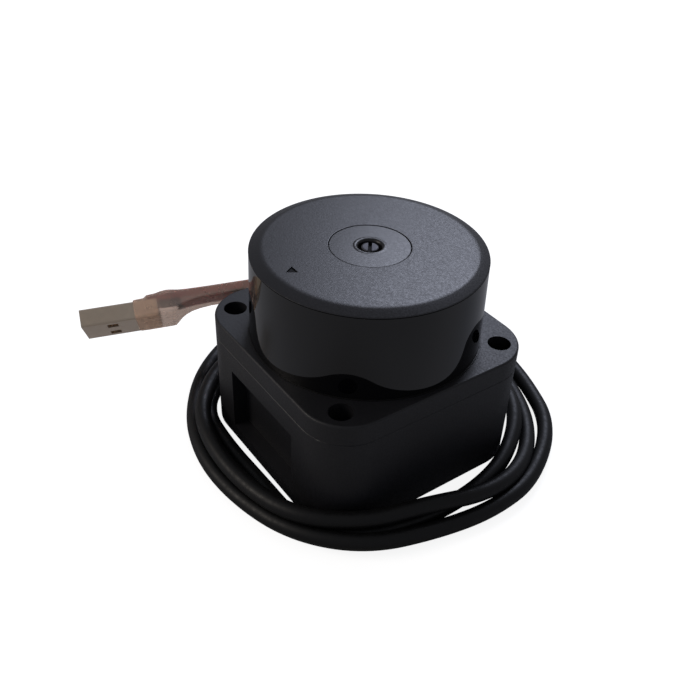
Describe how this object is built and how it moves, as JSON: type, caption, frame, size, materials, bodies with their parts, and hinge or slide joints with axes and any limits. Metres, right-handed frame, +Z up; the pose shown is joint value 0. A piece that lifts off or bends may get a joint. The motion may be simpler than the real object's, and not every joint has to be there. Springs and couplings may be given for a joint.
{
  "type": "turning laser range scanner",
  "caption": "Compact laser range scanner: square black base with through mounting wells, round dark window hood, turning optics inside, and a loose wound lead ending in a sleeved flat plug",
  "frame": {"origin": "middle of the base's underside, on the surface it stands on", "axes": "+Z up through the axle, -Y the side that the arrow on the cap points to, +X to the right of someone who faces that side"},
  "size_m": [0.1045, 0.1011, 0.051],
  "materials": {
    "housing": "fine moulded texture",
    "window": "polished, infrared passing",
    "glue": "cured bead",
    "cap": "fine texture",
    "disc": "smooth",
    "steel": "plain",
    "dark_steel": "blackened",
    "core_steel": "stacked sheet",
    "magnet": "plain",
    "copper": "enamelled wire",
    "brass": "turned",
    "alloy": "machined",
    "black_alloy": "black, machined",
    "board_green": "solder mask",
    "chip": "moulded",
    "connector": "moulded",
    "lens": "coated",
    "lead": "satin jacket",
    "wire": "plain",
    "shell": "stamped sheet",
    "tongue": "moulded",
    "gold": "plated",
    "board_red": "solder mask",
    "sleeve": "clear shrink sleeve"
  },
  "bodies": {
    "base": {"lower_housing": "housing", "upper_cover": "housing", "bottom_plate": "housing", "plate_screws": "dark_steel", "window_hood": "window", "foot_ring": "glue", "top_cap": "cap", "centre_disc": "disc", "cap_screw": "dark_steel", "axle": "steel", "axle_foot": "alloy", "flange_screws": "steel", "stator_core": "core_steel", "stator_windings": "copper", "lower_bearing_inner": "steel", "upper_bearing_inner": "steel", "bearing_spacer": "alloy", "main_board": "board_green", "board_chips": "chip", "board_spacers": "brass", "board_screws": "steel", "board_link": "chip", "ring_board": "board_green", "ring_screws": "steel", "fixed_power_coil": "copper", "code_reader": "chip", "lead_header": "connector", "lead_connector": "connector", "lead_wires": "wire", "strain_relief": "lead", "signal_lead": "lead", "plug_shell": "shell", "plug_tongue": "tongue", "plug_contacts": "gold", "stick_board": "board_red", "stick_chips": "chip", "shrink_sleeve": "sleeve"},
    "rotor": {"lower_bearing_outer": "steel", "upper_bearing_outer": "steel", "motor_bell": "steel", "magnet_ring": "magnet", "rotor_hub": "black_alloy", "code_ring": "chip", "turning_power_coil": "copper", "turning_board": "board_green", "turning_chips": "chip", "balance_weight": "brass", "optics_bench": "black_alloy", "optics_screws": "steel", "emitter_lens": "lens", "receiver_lens": "lens", "lens_rings": "dark_steel", "laser_board": "board_green", "detector_board": "board_green", "laser_diode": "brass", "detector_chip": "chip", "bearing_balls": "steel", "bearing_cages": "brass"}
  },
  "joints": [
    {"name": "rotor_spin", "type": "hinge", "parent": "base", "child": "rotor", "pos_m": [0, 0, 0.031], "axis": [0, 0, 1], "continuous": true}
  ]
}
